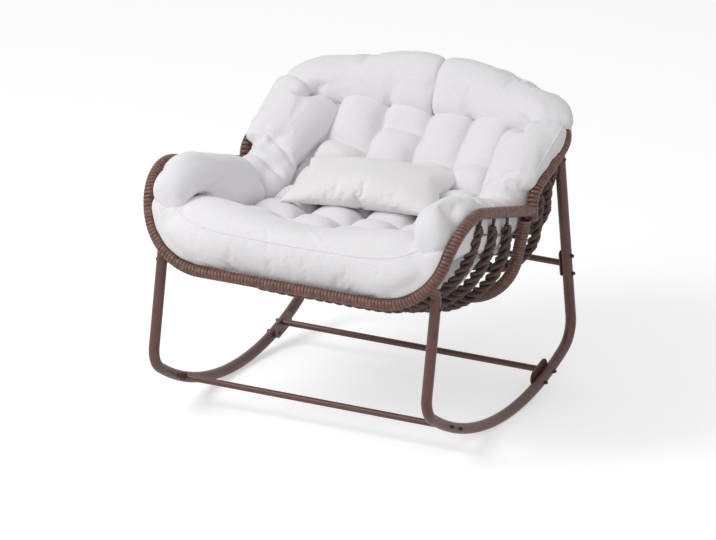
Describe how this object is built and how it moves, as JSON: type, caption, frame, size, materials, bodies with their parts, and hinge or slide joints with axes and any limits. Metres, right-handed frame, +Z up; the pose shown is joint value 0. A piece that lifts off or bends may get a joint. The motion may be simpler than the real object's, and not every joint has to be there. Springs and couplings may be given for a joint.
{
  "type": "papasan rocking chair",
  "caption": "Rocking chair with bent steel runners, a rattan-wrapped basket of ribs, a tufted pad with arms and head bolster, and a loose lumbar pillow.",
  "frame": {"origin": "on the floor under the middle of the chair's bounding box", "axes": "+X towards the chair's right arm as seen from the front, +Y towards the back, so that the sitter looks along -Y, +Z up"},
  "size_m": [1.0604, 1.006, 0.9219],
  "materials": {
    "brown_tube": "satin powder coat",
    "black_rod": "satin",
    "black_hardware": "satin",
    "rattan": "wound flat strand",
    "cushion_cover": "matte woven",
    "pillow_cover": "matte woven"
  },
  "bodies": {
    "frame": {"back_arch_tube": "brown_tube", "back_arch_wrap": "rattan", "back_rib_1_rod": "black_rod", "back_rib_1_wrap": "rattan", "back_rib_2_rod": "black_rod", "back_rib_2_wrap": "rattan", "back_rib_3_rod": "black_rod", "back_rib_3_wrap": "rattan", "back_rib_4_rod": "black_rod", "back_rib_4_wrap": "rattan", "crossbar_bolts": "black_hardware", "crossbar_cap_nuts": "black_hardware", "front_bar_plates": "brown_tube", "front_crossbar": "brown_tube", "front_spigot_left": "brown_tube", "front_spigot_right": "brown_tube", "leg_bolts": "black_hardware", "leg_cap_nuts": "black_hardware", "middle_bar_plates": "brown_tube", "middle_crossbar": "brown_tube", "rear_bar_plates": "brown_tube", "rear_crossbar": "brown_tube", "rear_hoop_rod": "black_rod", "rear_hoop_wrap": "rattan", "rear_spigot_left": "brown_tube", "rear_spigot_right": "brown_tube", "rib_link_strands": "rattan", "rocker_left": "brown_tube", "rocker_right": "brown_tube", "seat_rail_tube": "brown_tube", "seat_rail_wrap": "rattan", "seat_rib_1_rod": "black_rod", "seat_rib_1_wrap": "rattan", "seat_rib_2_rod": "black_rod", "seat_rib_2_wrap": "rattan", "seat_rib_3_rod": "black_rod", "seat_rib_3_wrap": "rattan"},
    "cushion": {"cushion_back_pad": "cushion_cover", "cushion_front_roll": "cushion_cover", "cushion_left_arm": "cushion_cover", "cushion_left_head": "cushion_cover", "cushion_left_wing": "cushion_cover", "cushion_right_arm": "cushion_cover", "cushion_right_head": "cushion_cover", "cushion_right_wing": "cushion_cover", "cushion_seat_pad": "cushion_cover"},
    "pillow": {"lumbar_pillow": "pillow_cover"}
  },
  "joints": [
    {"name": "cushion_lift", "type": "slide", "parent": "frame", "child": "cushion", "axis": [0, 0, 1], "range_m": [0, 0.6]},
    {"name": "pillow_lift", "type": "slide", "parent": "cushion", "child": "pillow", "axis": [0, 0, 1], "range_m": [0, 0.35]}
  ]
}
